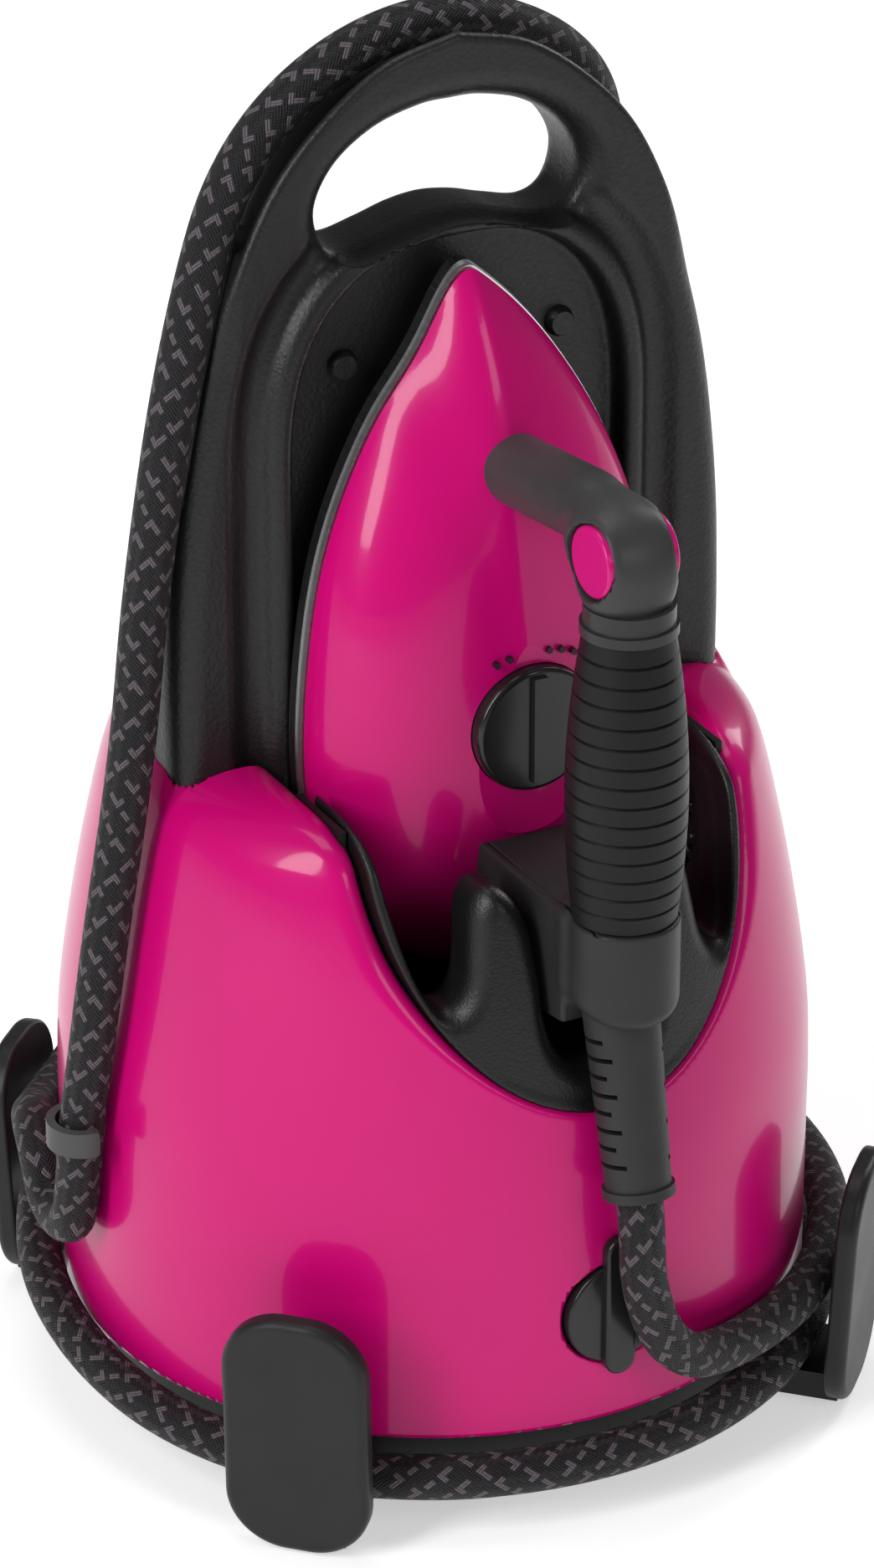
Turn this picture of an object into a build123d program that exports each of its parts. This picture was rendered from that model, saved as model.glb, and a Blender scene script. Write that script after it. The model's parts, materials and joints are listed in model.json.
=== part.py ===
from build123d import *
import os
from math import atan2, cos, degrees, pi, radians, sin, tan

# Steam ironing station: a bell-shaped body with an upright carrying frame, and an iron that
# stands tip-up in a recess at the front. Millimetres; +Z up, the iron's side is -Y, and the
# origin is the centre of the flat underside.

# ------------------------------------------------------------------ driving dimensions
SHELL_R = 114.0
SHELL_WALL = 3.0
SHELL_BOTTOM = 30.0
SHOULDER = 217.0
BASE_R = 101.0
BASE_FLOOR = 3.0

FRAME_HALF = 91.0
FRAME_TOP = 427.0
FRAME_SHOULDER = 240.0
FRAME_FOOT = 112.0
FRAME_DEPTH = 16.0
WEB_FRONT = 11.0
GUTTER_DEPTH = 10.5
GUTTER_HALF = 12.5
GUTTER_FLOOR_HALF = 9.4
GUTTER_END = 372.0

RIDGE_HALF = 57.0
RIDGE_TOP = 371.0
RIDGE_SHOULDER = 305.0
RIDGE_FRONT = 18.7

MOUTH_HALF = 60.0
MOUTH_CENTRE = 207.0
MOUTH_DROP = 75.0
MOUTH_ROLL = 9.0

SOLE_BACK = 19.6
SOLE_TIP = 362.0
HANDLE_R = 10.5
GRIP_Y = -115.0
GRIP_TOP = 286.0
BLOCK_TOP = 198.0
BLOCK_HALF = 16.0
RELIEF_TOP = (0.0, -113.5, 168.0)
RELIEF_END = (0.0, -126.0, 112.0)

HOSE_D = 13.5
HOSE_R = HOSE_D / 2
WRAP_LOW_R = 120.2
WRAP_LOW = 19.6
WRAP_HIGH_R = 124.8
WRAP_HIGH = 41.0

HOOK_ANGLES = {"front_left": 225, "front_right": 315, "rear_left": 135, "rear_right": 45}
HOOK_FACE_R = 129.6
HOOK_WIDTH = 44.0
HOOK_TOP = 81.0

TANK_HALF = 60.0
TANK_FRONT = 28.5
TANK_BOTTOM = 86.0
TANK_TOP = 228.0

DRAIN_Z = 66.0
DIAL_Z = 233.0
SWITCH_ANGLE = 20.0
SWITCH_Z = 140.0
GLAND_AT = (77.0, 27.0)
GLAND_TOP = 262.0
MAINS_ANGLE = 70.0
MAINS_Z = 68.0

os.makedirs("parts", exist_ok=True)
WRITTEN = []


def write(name, *solids):
    """Writes one node: one solid, or a group of separate identical ones."""
    flat = [s for shape in solids for s in shape.solids()]
    export_step(flat[0] if len(flat) == 1 else Compound(children=flat), f"parts/{name}.step")
    WRITTEN.append(name)


# ------------------------------------------------------------------ small helpers
def box(x0, x1, y0, y1, z0, z1):
    """A box given by its lowest and highest corners."""
    return Pos((x0 + x1) / 2, (y0 + y1) / 2, (z0 + z1) / 2) * Box(x1 - x0, y1 - y0, z1 - z0)


def rod(start, end, radius):
    """A cylinder from one point to another."""
    axis = Vector(*end) - Vector(*start)
    return Solid.make_cylinder(radius, axis.length, Plane(origin=start, z_dir=axis))


def tube(start, end, outer, inner):
    """A pipe from one point to another."""
    return rod(start, end, outer) - rod(start, end, inner)


def front_face(*edges):
    """A face in the XZ plane from edges given in that plane."""
    return Plane.XZ * make_face(edges)


def push(face, y0, y1):
    """Sweeps an XZ face from y0 to y1."""
    return Pos(0, y0, 0) * extrude(face, amount=y1 - y0, dir=(0, 1, 0))


def superellipse(half, top, shoulder, power, foot):
    """Outline edges of an upright arch: straight sides and a squared round top."""
    height = top - shoulder
    points = []
    for step in range(13):
        turn = pi * step / 12
        x = half * abs(cos(turn)) ** (2 / power) * (1 if cos(turn) >= 0 else -1)
        points.append((x, shoulder + height * sin(turn) ** (2 / power)))
    crown = Spline(*points, tangents=((0, 1), (0, -1)))
    sides = Polyline((-half, shoulder), (-half, foot), (half, foot), (half, shoulder))
    return [crown, *sides.edges()]


def mouth_face(grow):
    """The opening that the iron stands in, seen from the front: half an ellipse and sides."""
    half = MOUTH_HALF + grow
    drop = MOUTH_DROP + grow
    lower = EllipticalCenterArc((0, MOUTH_CENTRE), half, drop, start_angle=180, arc_size=180)
    sides = Polyline((half, MOUTH_CENTRE), (half, 300), (-half, 300), (-half, MOUTH_CENTRE))
    return front_face(lower, *sides.edges())


# ------------------------------------------------------------------ bell-shaped body
def bell(inset):
    """The body's solid bell, drawn in by inset."""
    outline = [
        (SHELL_R, 100), (112.9, 122), (108.9, 150), (103.6, 178), (97.4, 203),
        (89.5, 220), (77, 235), (58, 244), (32, 247.6), (0, 248),
    ]
    drawn = []
    for i, (r, z) in enumerate(outline):
        before = outline[max(i - 1, 0)]
        after = outline[min(i + 1, len(outline) - 1)]
        along = Vector(after[0] - before[0], after[1] - before[1]).normalized()
        drawn.append((r - inset * along.Y, z + inset * along.X) if r else (0, z - inset))
    crown = Spline(*drawn, tangents=((0, 1), (-1, 0)))
    foot = SHELL_BOTTOM if inset == 0 else SHELL_BOTTOM - 5
    sides = Polyline(drawn[-1], (0, foot), (drawn[0][0], foot), drawn[0])
    return revolve(Plane.XZ * make_face([crown, *sides.edges()]), Axis.Z)


def upright(angle, radius, z):
    """A point on a circle about the body's axis; angle counts from +X towards +Y."""
    return (radius * cos(radians(angle)), radius * sin(radians(angle)), z)


bell_outer = bell(0)
bell_inner = bell(SHELL_WALL)
frame_slot = Pos(0, 0, 180) * extrude(
    RectangleRounded(2 * FRAME_HALF + 0.8, 2 * FRAME_DEPTH + 0.8, 11), amount=90, both=True
)
mouth_pocket = push(mouth_face(0), -150, -FRAME_DEPTH - 0.4)
tank_bay = box(-TANK_HALF - 0.6, TANK_HALF + 0.6, TANK_FRONT - 0.6, 150, TANK_BOTTOM - 1, 300)
knob_hole = rod((0, -130, DRAIN_Z), (0, -90, DRAIN_Z), 17.0)
switch_hole = rod(upright(SWITCH_ANGLE, 90, SWITCH_Z), upright(SWITCH_ANGLE, 130, SWITCH_Z), 10.2)
mains_hole = rod(upright(MAINS_ANGLE, 90, MAINS_Z), upright(MAINS_ANGLE, 130, MAINS_Z), 8.0)
gland_hole = rod((*GLAND_AT, 200), (*GLAND_AT, 300), 7.2)


def make_shell():
    """Glossy bell: a wall all round, rolled over into the mouth, open at the tank's bay."""
    outer = bell_outer - mouth_pocket
    rim = [
        e for e in outer.edges()
        if e.center().Y < -60 and e.geom_type not in (GeomType.CIRCLE, GeomType.LINE)
    ]
    try:
        outer = fillet(rim, MOUTH_ROLL)
        print("mouth rolled over on", len(rim), "edges")
    except Exception as error:
        print("mouth left sharp:", type(error).__name__)
    skirt = push(mouth_face(SHELL_WALL) - mouth_face(0), -150, -FRAME_DEPTH - 0.4)
    lining = bell(MOUTH_ROLL + 3.4)
    outer -= box(-150, 150, -150, -FRAME_DEPTH, SHOULDER, 300)
    inner = bell_inner - box(-150, 150, -150, -FRAME_DEPTH + SHELL_WALL, SHOULDER - SHELL_WALL, 300)
    walls = (outer - inner) + ((outer & skirt) - lining)
    shell = walls - frame_slot - tank_bay - knob_hole - switch_hole - mains_hole - gland_hole
    return shell.solids().sort_by(SortBy.VOLUME)[-1]


# ------------------------------------------------------------------ carrying frame
def frame_outline(inset, foot=FRAME_FOOT):
    return front_face(*superellipse(
        FRAME_HALF - inset, FRAME_TOP - inset, FRAME_SHOULDER, 2.2, foot
    ))


def ridge_face(grow, foot=FRAME_FOOT + 26):
    return front_face(*superellipse(
        RIDGE_HALF + grow, RIDGE_TOP + grow, RIDGE_SHOULDER, 2.5, foot
    ))


def hand_hole_face(wider=1.0, roof=0.0, floor=0.0):
    """Kidney-shaped hole: its roof follows the arch and its floor bows upwards."""
    outline = [(24, 401), (36, 392.5), (42, 381), (39.5, 370), (32, 366.5), (20, 369)]
    right = [(x * wider, z + (roof if z > 390 else -floor if z < 372 else 0)) for x, z in outline]
    left = [(-x, z) for x, z in reversed(right)]
    loop = Spline((0, 405.5 + roof), *right, (0, 373 - floor), *left, periodic=True)
    return front_face(loop)


def make_frame():
    """The upright, whole, before it is parted into its front and rear mouldings."""
    frame = push(frame_outline(0), -FRAME_DEPTH, FRAME_DEPTH)
    legs = [
        e for e in frame.edges().filter_by(Axis.Z)
        if abs(abs(e.center().X) - FRAME_HALF) < 1
    ]
    frame = fillet(legs, 10.5)
    frame -= push(hand_hole_face(), -40, 40)
    for side, floor in ((-1, 2), (1, 8)):
        flare = hand_hole_face(1.2, 8, floor)
        frame -= loft([Pos(0, side * 4.5, 0) * hand_hole_face(), Pos(0, side * 16.1, 0) * flare])
    lips = push(frame_outline(-5) - frame_outline(3.5), -GUTTER_HALF, GUTTER_HALF)
    gutter = lips + push(frame_outline(3) - frame_outline(GUTTER_DEPTH), -GUTTER_FLOOR_HALF, GUTTER_FLOOR_HALF)
    frame -= gutter & box(-200, 200, -40, 40, GUTTER_END, 500)
    recess = push(ridge_face(-3), -60, -WEB_FRONT)
    frame += push(ridge_face(2.5) - ridge_face(-3), -RIDGE_FRONT, -FRAME_DEPTH + 1)
    frame -= recess
    hollow = push(frame_outline(6, FRAME_FOOT - 10), WEB_FRONT - 7, FRAME_DEPTH - 3)
    frame -= hollow & box(-200, 200, -40, 40, FRAME_FOOT - 10, 355)
    return frame


# ------------------------------------------------------------------ iron outlines
SOLE_SIDE = [
    (17.5, 344.4), (31, 325.5), (41, 307.5), (48.6, 288), (53.2, 269), (56, 248),
    (57.3, 227), (56.3, 206), (51.3, 184), (42, 164.5), (27, 151),
]
SOLE_MIDDLE = 222.0
SOLE_HEEL = 145.0


def sole_outline(wide, high, deep):
    """The iron's outline, tip up, scaled about its middle: across, to the tip, to the heel."""
    side = []
    for x, z in SOLE_SIDE:
        share = high if z > SOLE_MIDDLE else deep
        side.append((x * wide, SOLE_MIDDLE + (z - SOLE_MIDDLE) * share))
    tip = (0, SOLE_MIDDLE + (SOLE_TIP - SOLE_MIDDLE) * high)
    heel = (0, SOLE_MIDDLE + (SOLE_HEEL - SOLE_MIDDLE) * deep)
    mirrored = [(-x, z) for x, z in reversed(side)]
    return front_face(Spline(tip, *side, heel, *mirrored, periodic=True))


def inset_outline(inset):
    """The outline drawn in by about the same amount all round."""
    return sole_outline(1 - inset / 58, 1 - inset * 1.5 / 140, 1 - inset / 77)


COVER_BACK = -27.6
COVER_LEVELS = [
    (0, 0.985, 0.99, 0.985), (9, 0.96, 0.90, 0.97), (19, 0.85, 0.755, 0.87), (27.5, 0.63, 0.55, 0.60), (33, 0.30, 0.26, 0.30),
]


def cover_solid(wall):
    """The iron's domed cover, or the space inside it when a wall is given."""
    faces = []
    for rise, wide, high, deep in COVER_LEVELS:
        y = COVER_BACK - rise + (wall * 1.1 if rise > 0 else 0)
        shrink = wall * (1.0 if rise < 20 else 0.7)
        face = sole_outline(wide - shrink / 58, high - shrink * 1.3 / 140, deep - shrink / 77)
        faces.append(Pos(0, y, 0) * face)
    return loft(faces)


# ------------------------------------------------------------------ base
def make_base():
    upward = (Align.CENTER, Align.CENTER, Align.MIN)
    base = Cylinder(BASE_R, 33, align=upward)
    base -= Pos(0, 0, BASE_FLOOR) * Cylinder(BASE_R - 3, 40, align=upward)
    base += tube((0, 0, 30), (0, 0, 33), SHELL_R - SHELL_WALL - 0.3, BASE_R - 2)
    for side in (-1, 1):
        post = rod((side * 76, 0, 1), (side * 76, 0, FRAME_FOOT), 8)
        base += post - rod((side * 76, 0, 90), (side * 76, 0, 120), 1.6)
        base += box(side * 42 - 2, side * 42 + 2, -60, -6, 1, 60)
    base -= rod((-66, *BOILER_AT), (66, *BOILER_AT), BOILER_R)
    for angle in HOOK_ANGLES.values():
        base -= Rot(0, 0, angle) * box(80, 120, -14.2, 14.2, BASE_FLOOR, 12.4)
        base -= Rot(0, 0, angle) * (Pos(62, 0, 0) * Cylinder(9, 4))
    return base


BOILER_AT = (-30.0, 75.0)
BOILER_R = 35.5


def make_hook(angle):
    """Hose hook: an arm out of the base and an upright rounded plate that leans outwards."""
    arm = box(84, HOOK_FACE_R + 3, -14, 14, 3.2, 12.2)
    plate = extrude(Plane.YZ * RectangleRounded(HOOK_WIDTH, HOOK_TOP - 1, 18.5), amount=6.6)
    plate = fillet(plate.edges().filter_by(lambda e: abs(e.center().X - 6.6) < 0.1), 2.6)
    plate = fillet(plate.edges().filter_by(lambda e: abs(e.center().X) < 0.1), 1.2)
    lean = Pos(HOOK_FACE_R - 0.6, 0, 1) * Rot(0, 2.6, 0) * Pos(0, 0, (HOOK_TOP - 1) / 2)
    return Rot(0, 0, angle) * (arm + lean * plate)


# ------------------------------------------------------------------ the steam hose's route
def around(angle, radius, z):
    """A corner of a wrap round the body; angle counts from the front (-Y) towards +X."""
    return (radius * sin(radians(angle)), -radius * cos(radians(angle)), z)


def between(a, b):
    return tuple((p + q) / 2 for p, q in zip(a, b))


LEAD_LAST = (27.5, -121.5, 44.5)
WRAP_FIRST = around(37, WRAP_HIGH_R, WRAP_HIGH)
RISE_AT = (-86.3, -9, 334)
SEAM_FRONT = between(LEAD_LAST, WRAP_FIRST)

RELIEF_DIP = tuple(e + (e - t) / 6 for e, t in zip(RELIEF_END, RELIEF_TOP))
lead_points = [RELIEF_END, RELIEF_DIP, (1.0, -127.4, 81), (9.5, -126.2, 58), LEAD_LAST, SEAM_FRONT]
wrap_points = [
    SEAM_FRONT,
    *[around(a, WRAP_HIGH_R, WRAP_HIGH) for a in range(37, 230, 24)],
    around(252, 124, 35.5), around(273, 123.4, 29.5), around(293, 122.8, 23), around(315, 121, WRAP_LOW),
    *[around(a, WRAP_LOW_R, WRAP_LOW) for a in range(338, 510, 24)],
    around(523, 123.5, 19.8), around(538, 137, 29.5), around(553, 143.5, 48.5), around(568, 131, 60.5),
    around(584, 123.8, 63), around(598, 122.8, 69.5), around(609, 122.4, 82), around(618.3, 122.4, 79.5),
    around(622.5, 122.4, 67), around(631.2, 122.4, 69), (-121.6, -5.6, 88), (-121.3, -8, 107),
    (-119.6, -12, 130), (-116.8, -13.5, 154), (-112, -12.5, 180), (-106.5, -11.5, 207), (-101.8, -11, 236),
    (-98.2, -10.5, 268), (-93, -10.8, 303), RISE_AT,
]
arch_points = [
    (-77.2, -6, 364), (-66.5, -1, 387), (-51, 1.5, 405.5), (-30, 2, 419.5), (-6.5, 2, 426),
    (16, 2, 424.4), (36, 2.5, 415.5), (51, 6, 402.5), (61, 13, 387), (66.5, 21, 369),
    (70, 25.5, 346), (73.5, 27.5, 319), (*GLAND_AT, 290), (*GLAND_AT, GLAND_TOP),
]
SEAM_TOP = between(RISE_AT, arch_points[0])
wrap_points.append(SEAM_TOP)
arch_points.insert(0, SEAM_TOP)


def route(points):
    """Straight runs joined by tangent arcs."""
    corners = [Vector(*p) for p in points]
    radii = []
    for before, at, after in zip(corners, corners[1:], corners[2:]):
        half_turn = radians((at - before).get_angle(after - at)) / 2
        run = min((at - before).length, (after - at).length)
        radii.append(0.45 * run / tan(half_turn))
    return FilletPolyline(*corners, radius=radii), radii


def hose(name, points):
    """A round hose along a route."""
    path, radii = route(points)
    solid = sweep(Plane(origin=path @ 0, z_dir=path % 0) * Circle(HOSE_R), path=path)
    share = solid.volume / (pi * HOSE_R**2 * path.length)
    print(name, round(path.length, 1), "mm, volume share", round(share, 4))
    print("   radii", [round(r) for r in radii])
    return solid


# ------------------------------------------------------------------ base and body
write("base_plate", make_base())
write("foot_pads", *[Rot(0, 0, a) * (Pos(62, 0, 0.95) * Cylinder(8.8, 1.9)) for a in HOOK_ANGLES.values()])
for name, angle in HOOK_ANGLES.items():
    write(f"hose_hook_{name}", make_hook(angle))

vent_slots = [box(s * 61.5 - 6, s * 61.5 + 6, -62, -34, 172, 214) for s in (-1, 1)]
shell = make_shell()
for slot in vent_slots:
    shell -= slot
# The strip between the frame's slot and the tank's bay is a moulding of its own.
strip = box(-TANK_HALF - 0.6, TANK_HALF + 0.6, FRAME_DEPTH - 1, TANK_FRONT + 1, 200, 260)
write("shell_bridge", (shell & strip).solids().sort_by(SortBy.VOLUME)[-1])
shell -= strip
write("outer_shell", shell.solids().sort_by(SortBy.VOLUME)[-1])

# Mouth liner with its cradle: carries on the shell's roll and makes the notched front wall.
liner = push(mouth_face(3) - mouth_face(0), -150, -FRAME_DEPTH - 0.4)
liner = liner & bell(MOUTH_ROLL + 3.8) & box(-80, 80, -150, -19.2, 0, 300)
front_wall = (bell(2.4) - bell(8.4)) & push(mouth_face(0.4), -150, -60)
profile = [
    (8, 146.5), (13.5, 150), (17.2, 158), (18.6, 175), (21.5, 190), (27.5, 200), (34, 202.5), (38.2, 197), (39.3, 181),
    (40.6, 167), (45, 160.5), (51.5, 164), (57, 175), (62, 196), (66, 300),
]
notch = front_face(*Polyline(*[(-x, z) for x, z in reversed(profile)], *profile, close=True).edges())
front_wall -= push(notch, -200, 0)
cradle = (liner + front_wall) & box(-150, 150, -150, 0, 0, SHOULDER - SHELL_WALL)
for slot in vent_slots:
    cradle -= slot
write("iron_cradle", cradle.solids().sort_by(SortBy.VOLUME)[-1])
write("vent_grilles", *[box(s * 61.6 - 1, s * 61.6 + 1, -61.8, -34.2, 172.2, 213.8) for s in (-1, 1)])

# Carrying frame in two mouldings, with the recess that the iron's sole rests against.
frame = make_frame()
leaving, _ = route(arch_points[7:])
frame -= sweep(Plane(origin=leaving @ 0, z_dir=leaving % 0) * Circle(HOSE_R + 0.8), path=leaving)
entering, _ = route(wrap_points[-4:-1] + arch_points[1:5])
frame -= sweep(Plane(origin=entering @ 0, z_dir=entering % 0) * Circle(HOSE_R + 0.4), path=entering)
front_half = frame & box(-200, 200, -60, 0, 0, 500)
rear_half = frame & box(-200, 200, 0, 60, 0, 500)
write("frame_front", front_half.solids().sort_by(SortBy.VOLUME)[-1])
write("frame_rear", rear_half.solids().sort_by(SortBy.VOLUME)[-1])
stud_slice = box(-60, 60, -WEB_FRONT - 3, -WEB_FRONT, 320, 345)
write("rest_studs", *[(Pos(s * 35, -WEB_FRONT, 333) * Sphere(4.6)) & stud_slice for s in (-1, 1)])
write("frame_screws", *[
    rod((s * 76, 0, FRAME_FOOT - 16), (s * 76, 0, FRAME_FOOT - 3), 1.5) for s in (-1, 1)
])

# Clip that holds the rising hose against the body.
clip_band = Pos(121.4, 0, 0) * (Cylinder(10.7, 8) - Cylinder(8.0, 9))
clip_band &= box(121.4, 140, -20, 20, -5, 5)
clip_band += box(104, 121.5, -10.7, -8.0, -4, 4)
clip_band = fillet(clip_band.edges().filter_by(lambda e: e.center().X < 122 and e.center().Y > 7 and e.length < 3), 1.2)
clip = (Pos(0, 0, 106) * Rot(0, 0, 184) * clip_band) - bell_outer
write("hose_clip", clip.solids().sort_by(SortBy.VOLUME)[-1])

# Drain knob in the front, and the port that it closes.
knob = rod((0, -108, DRAIN_Z), (0, -115.2, DRAIN_Z), 16.4)
knob = fillet(knob.edges().filter_by(lambda e: e.center().Y < -115.1), 1.0)
bar = Pos(0, -114.2, 69) * extrude(Plane.XZ * SlotOverall(46, 10, rotation=90), amount=3.4)
bar = fillet(bar.edges().filter_by(lambda e: e.center().Y < -117.3), 1.2)
write("drain_knob", knob + bar + rod((0, -109, DRAIN_Z), (0, -88, DRAIN_Z), 6.0))
port = rod((0, -60, DRAIN_Z), (0, -107.5, DRAIN_Z), 9.0) - rod((0, -60, DRAIN_Z), (0, -120, DRAIN_Z), 6.04)
write("drain_port", port - rod((-66, *BOILER_AT), (66, *BOILER_AT), BOILER_R))

# ------------------------------------------------------------------ inside the body
boiler = rod((-65, *BOILER_AT), (65, *BOILER_AT), BOILER_R)
boiler = fillet(boiler.edges(), 11)
boiler_room = rod((-62.5, *BOILER_AT), (62.5, *BOILER_AT), BOILER_R - 2)
write("boiler", boiler - fillet(boiler_room.edges(), 9))
write("boiler_heater", tube((-38, *BOILER_AT), (-13, *BOILER_AT), BOILER_R + 3, BOILER_R))
pump = rod((-60, 46, 34), (-8, 46, 34), 14) + box(-48, -18, 36, 56, BASE_FLOOR, 26)
write("pump", pump)
valve = box(30, 52, 14, 36, 44, 66) + rod((41, 25, 66), (41, 25, 82), 8) + box(36, 46, 18, 32, BASE_FLOOR, 44)
write("solenoid_valve", valve)
board = box(4, 60, 64, 65.6, 14, 72) + box(14, 26, 54, 64, 20, 34) + box(32, 50, 58, 64, 48, 62)
board += box(36, 46, 50, 64, 18, 36) + rod((56, 64, 30), (56, 52, 30), 5) + box(16, 28, 62, 68, BASE_FLOOR, 14.5)
write("control_board", board)


def pipe(points, radius, bend):
    path = FilletPolyline(*[Vector(*p) for p in points], radius=bend)
    return sweep(Plane(origin=path @ 0, z_dir=path % 0) * Circle(radius), path=path)


boiler_body = rod((-66, *BOILER_AT), (66, *BOILER_AT), BOILER_R)
water_pipe = pipe([(0, 60, 74), (0, 60, 58), (8, 46, 34), (-8, 46, 34)], 2.6, 6)
write("water_pipe", water_pipe)
feed_pipe = pipe([(-50, 34, 34), (-50, 20, 34), (-50, 20, 75), (-50, 4, 75)], 2.6, 6) - boiler_body - pump
write("feed_pipe", feed_pipe.solids().sort_by(SortBy.VOLUME)[-1])
outlet_pipe = rod((41, -5, 58), (41, 14, 58), 3.0)
write("outlet_pipe", (outlet_pipe - boiler_body).solids().sort_by(SortBy.VOLUME)[-1])
steam_pipe = pipe([(52, 20, 54), (66, 20, 54), (66, 20, 160), (*GLAND_AT, 176), (*GLAND_AT, 190)], 3.0, 5)
write("steam_pipe", steam_pipe)
gland = rod((*GLAND_AT, 190), (*GLAND_AT, GLAND_TOP), 7.0)
gland += rod((*GLAND_AT, 246), (*GLAND_AT, GLAND_TOP), 9.4)
gland -= rod((*GLAND_AT, 180), (*GLAND_AT, GLAND_TOP + 1), 3.0)
write("hose_gland", gland)
mains = rod(upright(MAINS_ANGLE, 102, MAINS_Z), upright(MAINS_ANGLE, 128, MAINS_Z), 7.9)
collar = rod(upright(MAINS_ANGLE, 105, MAINS_Z), upright(MAINS_ANGLE, 118, MAINS_Z), 10) - bell_outer
mains += collar.solids().sort_by(SortBy.VOLUME)[-1]
mains -= rod(upright(MAINS_ANGLE, 90, MAINS_Z), upright(MAINS_ANGLE, 140, MAINS_Z), 3.6)
write("mains_gland", mains)
button = rod(upright(SWITCH_ANGLE, 99, SWITCH_Z), upright(SWITCH_ANGLE, 112.6, SWITCH_Z), 10.1)
button = fillet(button.edges().sort_by(lambda e: -e.center().length)[0], 1.0)
write("power_button", button)
write("power_switch", Rot(0, 0, SWITCH_ANGLE) * box(82, 96.8, -8, 8, SWITCH_Z - 9, SWITCH_Z + 9))

# ------------------------------------------------------------------ rear tank
bay = box(-TANK_HALF, TANK_HALF, TANK_FRONT, 150, TANK_BOTTOM, TANK_TOP)
hollow = box(-TANK_HALF + 2.4, TANK_HALF - 2.4, TANK_FRONT + 2.4, 150, TANK_BOTTOM + 2.4, TANK_TOP - 2.4)
tank = (bell_outer & bay) - (bell(2.4) & hollow)
tank -= box(-24, 24, 36, 66, TANK_TOP - 5, TANK_TOP + 5)
tank -= rod((0, 60, TANK_BOTTOM - 5), (0, 60, TANK_BOTTOM + 6), 7.0)
for side in (-1, 1):
    tank += box(side * 31 - 2, side * 31 + 2, 30.6, 35.4, TANK_TOP - 1, TANK_TOP + 4)
hinge_pin = rod((-33.5, 33, TANK_TOP + 1.9), (33.5, 33, TANK_TOP + 1.9), 1.25)
tank -= hinge_pin
write("tank", tank.solids().sort_by(SortBy.VOLUME)[-1])
lid = box(-27, 27, 33, 69, TANK_TOP + 0.1, TANK_TOP + 3.1)
lid = fillet(lid.edges().filter_by(lambda e: e.center().Y > 60 and abs(e.center().X) > 26 and e.length < 4), 2.6)
lid += rod((-28.8, 33, TANK_TOP + 1.9), (28.8, 33, TANK_TOP + 1.9), 1.7)
lid += rod((-32.5, 33, TANK_TOP + 1.9), (32.5, 33, TANK_TOP + 1.9), 1.2)
lid += box(-23.8, 23.8, 36.4, 65.8, TANK_TOP - 2, TANK_TOP + 1)
write("tank_lid", lid)
write("tank_valve", tube((0, 60, 76), (0, 60, TANK_BOTTOM + 8), 6.96, 3.0))
seat = box(-TANK_HALF - 3, TANK_HALF + 3, TANK_FRONT - 2.6, 110, TANK_BOTTOM - 3.4, 190)
seat -= box(-TANK_HALF - 0.6, TANK_HALF + 0.6, TANK_FRONT - 0.6, 150, TANK_BOTTOM - 0.4, 300)
seat = seat & bell(SHELL_WALL + 0.2)
seat -= rod((0, 60, 60), (0, 60, 100), 7.6)
write("tank_seat", (seat + tube((0, 60, 72), (0, 60, TANK_BOTTOM - 3), 9.5, 7.6)).solids().sort_by(SortBy.VOLUME)[-1])

# ------------------------------------------------------------------ iron
cover_body = cover_solid(0)
neck_path = FilletPolyline(Vector(0, -44, 308), Vector(0, -115, 317), Vector(0, -115, GRIP_TOP), radius=18.0)
neck_start = Plane(origin=neck_path @ 0, z_dir=neck_path % 0)
neck_body = sweep(neck_start * Circle(HANDLE_R), path=neck_path)
BOSS = (-112.5, 307.5)
boss = rod((-10.2, *BOSS), (10.2, *BOSS), 12.6)
boss = fillet(boss.edges().filter_by(GeomType.CIRCLE), 1.5)

sole = push(inset_outline(0), -SOLE_BACK - 4, -SOLE_BACK)
holes = [(x, z) for x, z in ((0, 340), (0, 180))]
for row in range(8):
    z = 200 + row * 16
    reach = min(40, (350 - z) * 0.42)
    holes += [(-reach, z), (reach, z)]
for x, z in holes:
    sole -= rod((x, -10, z), (x, -40, z), 1.4)
write("soleplate", sole)
write("trim_strip", push(inset_outline(0.5) - inset_outline(5), -26.3, -23.6))
write("heat_shield", push(inset_outline(2.8) - inset_outline(12), COVER_BACK, -26.3))
chamber = push(inset_outline(20), -35, -23.6) - push(inset_outline(24), -32, -26)
for z in (222, 250, 278):
    chamber -= rod((0, -20, z), (0, -30, z), 2)
write("steam_chamber", chamber)
element = pipe([(-16, -37.8, 196), (-16, -37.8, 300), (16, -37.8, 300), (16, -37.8, 196)], 2.8, 15)
write("heating_element", element)
cover = cover_body - cover_solid(2.6) - neck_body - rod((0, -57.3, DIAL_Z), (0, -80, DIAL_Z), 19.5)
cover -= rod((0, -40, DIAL_Z), (0, -80, DIAL_Z), 3.3)
write("iron_cover", cover.solids().sort_by(SortBy.VOLUME)[-1])
write("iron_thermostat", box(-9, 9, -45, -35, DIAL_Z - 10, DIAL_Z + 10))
dial = rod((0, -57.5, DIAL_Z), (0, -64.5, DIAL_Z), 19.2)
dial = fillet(dial.edges().filter_by(lambda e: e.center().Y < -64), 1.6)
dial += box(-2.2, 2.2, -66.2, -63, DIAL_Z - 16, DIAL_Z + 17) + rod((0, -46, DIAL_Z), (0, -58, DIAL_Z), 3.2)
write("dial", dial)
dots = [(-11.6, 254.5), (-7.6, 255.5), (5.2, 255.8), (9.2, 255.1), (13.2, 253.6)]
write("dial_marks", *[(rod((x, -61.6, z), (x, -52, z), 1.0) - cover_body).solids()[0] for x, z in dots])

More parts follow.
